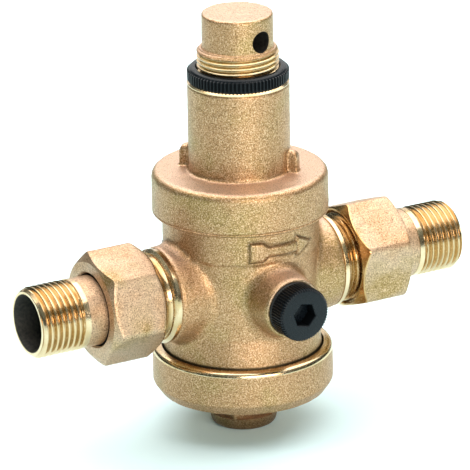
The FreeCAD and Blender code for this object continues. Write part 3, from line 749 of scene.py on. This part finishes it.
def tailpiece(side, name):
    """Male pipe end with a helical thread, a machined band and a collar inside its nut."""
    root = PIPE_THREAD_R - PIPE_DEPTH
    foot, tip = TAIL_THREAD_FOOT - 0.9, HALF_LENGTH - 0.15
    band_r = PIPE_THREAD_R - 0.05
    hidden = NUT_FACE - 0.3
    collar_end = TAIL_FACE + 3.4

    def cap(z):
        start = max(root + 0.02 + (z - foot) * 1.3, band_r - (z - foot) * 1.5)
        return min(root + 0.15 + (tip + 0.1 - z) * 0.8, start)

    # the bore and the tube hidden in the nut are painted near-black as painted shade
    def is_dark(p, n):
        return pipe_radius(p) < TAIL_MOUTH_R - 0.1 or NUT_SHOULDER < abs(p.x) < hidden

    thread = thread_points(PIPE_THREAD_R, PIPE_PITCH, PIPE_DEPTH, foot, tip, cap, THREAD_COLUMNS)
    rows = rounded([
        (root + 0.2, HALF_LENGTH - 0.1), (root + 0.05, HALF_LENGTH), (TAIL_MOUTH_R, HALF_LENGTH),
        (TAIL_BORE_R, HALF_LENGTH - 1.2), (TAIL_BORE_R, TAIL_FACE), (TAIL_COLLAR_R, TAIL_FACE),
        (TAIL_COLLAR_R, collar_end), (TAIL_TUBE_R, collar_end), (TAIL_TUBE_R, hidden),
        (TAIL_TUBE_R, TAIL_BAND_FOOT), (band_r, TAIL_BAND_FOOT + 0.12), (band_r, foot - 0.05)])
    thing = threaded(name + "_pipe_end", thread, rows, THREAD_COLUMNS, towards(side, 0))
    # painted shade in the thread roots, at less than half strength
    shade_thread_roots(thing, PIPE_THREAD_R, PIPE_DEPTH, foot, tip, 0.45)
    paint(thing, (BRIGHT, None), (FORGED, lambda p, n: hidden < abs(p.x) < TAIL_BAND_FOOT),
          (DARK, is_dark))
    place(thing, name + "_tail", "machined_brass", name + "_tailpiece")


# adjusting screw and lock ring
SCREW_PITCH, SCREW_DEPTH, SCREW_HEAD_R, SCREW_HOLLOW_R = 1.5, 0.9, 10.4, 9.6
SCREW_COLLAR_TOP = SCREW_TOP - 10.4


def adjusting_screw():
    """Screw with a helical thread, a plain head and a tommy-bar hole across it."""
    hollow_top, crown = SCREW_FOOT + 18, SCREW_TOP - 0.1

    def cap(z):
        start = SCREW_R - SCREW_DEPTH + 0.05 + (z - SCREW_FOOT)
        return min(SCREW_HEAD_R + 0.75 + (SCREW_COLLAR_TOP - z) * 0.9, start)

    # painted shade in the roots of the thread below the collar
    def root_shade(p):
        if p.z < SCREW_COLLAR_TOP - 0.5:
            return 0.8 * (SCREW_R - 0.2 - p.xy.length) / SCREW_DEPTH
        return 0

    def on_thread(p, n):
        return p.z < SCREW_COLLAR_TOP - 0.9 and p.xy.length > SCREW_HEAD_R

    # the tommy-bar hole is painted near-black as painted shade
    def in_hole(p, n):
        off = (p - Vector((0, 0, TOMMY_Z))).cross(TOMMY_AXIS).length
        return off < TOMMY_R + 0.02 and p.xy.length < SCREW_HEAD_R - 0.3

    thread = thread_points(SCREW_R, SCREW_PITCH, SCREW_DEPTH, SCREW_FOOT, SCREW_COLLAR_TOP, cap,
                           THREAD_COLUMNS)
    rows = dense(rounded([
        (SCREW_HEAD_R + 0.3, SCREW_COLLAR_TOP + 0.02), (SCREW_HEAD_R, SCREW_COLLAR_TOP + 0.3),
        (SCREW_HEAD_R, crown, 0.7), (0, crown)]), 0.6, closed=False)
    rows += [(0, hollow_top), (SCREW_HOLLOW_R, hollow_top), (SCREW_HOLLOW_R, SCREW_FOOT)]
    thing = threaded("screw", thread, rows, THREAD_COLUMNS)
    paint_shade(thing, root_shade)
    roughen(thing, 0.05, FORGED_WAVE, lambda p: SCREW_COLLAR_TOP + 0.4 < p.z < crown - 0.5)
    roughen(thing, 0.12, SKIN_WAVE, lambda p: p.z > crown - 0.5)
    lift = Matrix.Translation((0, 0, TOMMY_Z * MM - PIPE_Z * MM))
    drill = lathe("drill", [(0, -20), (TOMMY_R, -20), (TOMMY_R, 20), (0, 20)], 64,
                  lift @ towards(TOMMY_AXIS.x, TOMMY_AXIS.y))
    cut_away(thing, drill)
    paint(thing, (CAST, None), (BRIGHT, on_thread), (DARK, in_hole))
    place(thing, "adjuster", "machined_brass", "adjusting_screw")


RING_TEETH, RING_GROOVE = 80, 0.5


def toothed_edge(radius, groove, teeth):
    """Radius with square grooves, for a lathe that has four columns a tooth."""
    def at(angle):
        return radius - (groove if round(angle / (2 * math.pi) * 4 * teeth) % 4 > 1 else 0)

    return at


def lock_ring():
    low, top = RING_LOW, RING_TOP
    toothed = toothed_edge(RING_R, RING_GROOVE, RING_TEETH)

    # groove floors get the darker, duller black as painted shade
    def in_groove(p, n):
        return RING_R - 0.9 < p.xy.length < RING_R - 0.1 and low + 0.6 < p.z < top - 1.0

    rows = [(SCREW_BORE_R, low), (RING_R - 0.7, low), (RING_R - 0.5, low + 0.15), (toothed, low + 0.5),
            (toothed, top - 1.0), (RING_R - 0.5, top - 0.75), (RING_R - 0.65, top - 0.5),
            (RING_R - 1.0, top - 0.15), (RING_R - 1.4, top), (SCREW_R + 0.5, top),
            (SCREW_BORE_R, top - 0.5)]
    thing = lathe("ring", rows, 4 * RING_TEETH)
    paint(thing, (BLACK, None), (PITCH, in_groove))
    place(thing, "lock_ring", "black_plastic", "lock_ring")


# gauge plugs
PORT_THREAD_R, PORT_PITCH, PORT_DEPTH = 6.5785, 1.337, 0.856
PLUG_TEETH, PLUG_GROOVE, PLUG_REAR = 60, 0.32, 30.9
SOCKET_FLAT, SOCKET_DEPTH, SOCKET_TURN = 3.2, 4.4, -12.0
PLUG_BEVELS = {"front": (0.5, 0.5), "rear": (1.5, 2.6)}     # inwards and down the rim


def gauge_plug(side, name):
    """Plug with a helical thread, a knurled and bevelled head and a hexagon socket."""
    inwards, down = PLUG_BEVELS[name]
    columns = 4 * PLUG_TEETH
    root = PORT_THREAD_R - PORT_DEPTH
    foot, tip, face = PLUG_END, PLUG_REAR - 1.4, PLUG_FACE
    floor_at = face - SOCKET_DEPTH
    socket = hexagon(SOCKET_FLAT, 0.05)
    toothed = toothed_edge(PLUG_R, PLUG_GROOVE, PLUG_TEETH)

    def cap(z):
        return min(root + 0.02 + (tip - z) * 1.2, root + 0.05 + (z - foot))

    def shrunk(angle):
        return toothed(angle) - inwards

    def mouth(wider):
        return lambda angle: socket(angle - math.radians(SOCKET_TURN)) * (1 + wider / SOCKET_FLAT)

    # rim grooves and socket walls get the darker, duller black as painted shade
    def in_groove(p, n):
        off = math.hypot(p.x, p.z - PIPE_Z)
        rim = PLUG_R - 0.6 < off < PLUG_R - 0.08 and abs(p.y) < face - 0.3 - down
        return rim or off < SOCKET_FLAT * 1.16 and abs(n.y) < 0.5

    rows = [(root, tip + 0.05), (root, PLUG_REAR), (PLUG_R - 0.6, PLUG_REAR), (toothed, PLUG_REAR + 0.3),
            (toothed, face - 0.15 - down), (shrunk, face - 0.15), (PLUG_R - inwards - 0.25, face - 0.05),
            (PLUG_R - inwards - 0.45, face), (mouth(0.22), face), (mouth(0), face - 0.22),
            (mouth(0), floor_at), (0, floor_at), (0, foot)]
    thread = thread_points(PORT_THREAD_R, PORT_PITCH, PORT_DEPTH, foot, tip, cap, columns, 10)
    thing = threaded(name + "_plug_body", thread, rows, columns, towards(0, side))
    paint(thing, (BLACK, None), (PITCH, in_groove))
    place(thing, name + "_plug", "black_plastic", name + "_gauge_plug")


# main spring
def main_spring():
    """Coil copied from the CAD node's mesh, in spring steel."""
    thing = node_copy("pressure_spring", "main_spring")
    paint(thing, (SPRING, None))
    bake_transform(thing)
    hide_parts("main_spring")


cast_body()
bonnet()
bottom_cap()
adjusting_screw()
lock_ring()
main_spring()
for side, end in ((-1, "inlet"), (1, "outlet")):
    union_port(side, end)
    union_nut(side, end)
    tailpiece(side, end)
for side, end in ((-1, "front"), (1, "rear")):
    gauge_plug(side, end)


# ---------------------------------------------------------------- stage, light and camera
FLOOR_R, FLOOR_COLUMNS = 700, 96
FLOOR_WHITE, SKY_WHITE = (0.74, 0.95, 0.99), (0.80, 1.0, 0.98)
CENTRE = (0, 0, 0.06)                     # what the lights aim at, metres
# the world's strength between two heights of a direction, from the third value to the fourth:
# growing overhead, and falling away at the horizon, just past the floor's rim
GLOW = ((0.12, 0.55, 0.02, 0.26), (-0.06, -0.04, 1.4, 0.0))


def floor():
    thing = mesh_object("floor", ring_points([(FLOOR_R, 0)], even(FLOOR_COLUMNS)),
                        [tuple(range(FLOOR_COLUMNS))])
    n = Nodes("floor_white")
    thing.data.materials.append(n.set(Base_Color=FLOOR_WHITE, Roughness=0.7))


def softbox(name, place, size, power, colour):
    light = bpy.data.lights.new(name, "AREA")
    light.shape = "RECTANGLE"
    light.size, light.size_y = size
    light.energy = power
    light.color = colour
    thing = bpy.data.objects.new(name, light)
    thing.location = place
    thing.rotation_euler = (Vector(CENTRE) - Vector(place)).to_track_quat("-Z", "Y").to_euler()
    bpy.context.scene.collection.objects.link(thing)


def studio():
    """World that glows overhead and below the horizon, and three softboxes."""
    world = bpy.data.worlds.new("studio")
    world.use_nodes = True
    tree = world.node_tree
    direction = tree.nodes.new("ShaderNodeSeparateXYZ")
    tree.links.new(tree.nodes.new("ShaderNodeTexCoord").outputs["Generated"], direction.inputs[0])
    total = tree.nodes.new("ShaderNodeMath")
    for band, values in enumerate(GLOW):
        part = tree.nodes.new("ShaderNodeMapRange")
        for name, value in zip(("From Min", "From Max", "To Min", "To Max"), values):
            part.inputs[name].default_value = value
        tree.links.new(direction.outputs["Z"], part.inputs["Value"])
        tree.links.new(part.outputs["Result"], total.inputs[band])
    tree.links.new(total.outputs["Value"], tree.nodes["Background"].inputs["Strength"])
    tree.nodes["Background"].inputs["Color"].default_value = (*SKY_WHITE, 1)
    bpy.context.scene.world = world
    softbox("top", (0.13, 0.16, 0.95), (1.75, 1.5), 28.0, (1.0, 0.95, 0.92))
    softbox("back", (0.55, 1.0, 0.42), (1.5, 0.6), 3.2, (1.0, 0.97, 0.95))
    softbox("front", (-0.12, -0.93, 0.32), (0.75, 0.35), 7.3, (1.0, 0.94, 0.88))


CAMERA_AZIMUTH, CAMERA_ELEVATION, CAMERA_ROLL = map(math.radians, (-29.41, 20.11, -1.0))
CAMERA_DISTANCE = 1.445
CAMERA_SHIFT = (-0.0017, 0.0125)          # to the right and up from the pipe's axis, metres
CAMERA_LENS, CAMERA_SENSOR = 375.8, 36.0


def camera():
    """Camera at the photograph's angle."""
    azimuth, elevation = CAMERA_AZIMUTH, CAMERA_ELEVATION
    back = Vector((math.sin(azimuth) * math.cos(elevation), -math.cos(azimuth) * math.cos(elevation),
                   math.sin(elevation)))
    right = Vector((math.cos(azimuth), math.sin(azimuth), 0))
    up = back.cross(right)
    place = back * CAMERA_DISTANCE + right * CAMERA_SHIFT[0] + up * CAMERA_SHIFT[1]
    place.z += PIPE_Z * MM
    rolled_right = right * math.cos(CAMERA_ROLL) + up * math.sin(CAMERA_ROLL)
    rolled_up = up * math.cos(CAMERA_ROLL) - right * math.sin(CAMERA_ROLL)
    turn = Matrix((rolled_right, rolled_up, back)).transposed().to_4x4()
    data = bpy.data.cameras.new("camera")
    data.lens = CAMERA_LENS
    data.sensor_width = CAMERA_SENSOR
    thing = bpy.data.objects.new("camera", data)
    thing.matrix_world = Matrix.Translation(place) @ turn
    bpy.context.scene.collection.objects.link(thing)
    bpy.context.scene.camera = thing


floor()
studio()
camera()
bpy.context.scene.view_settings.view_transform = "Standard"
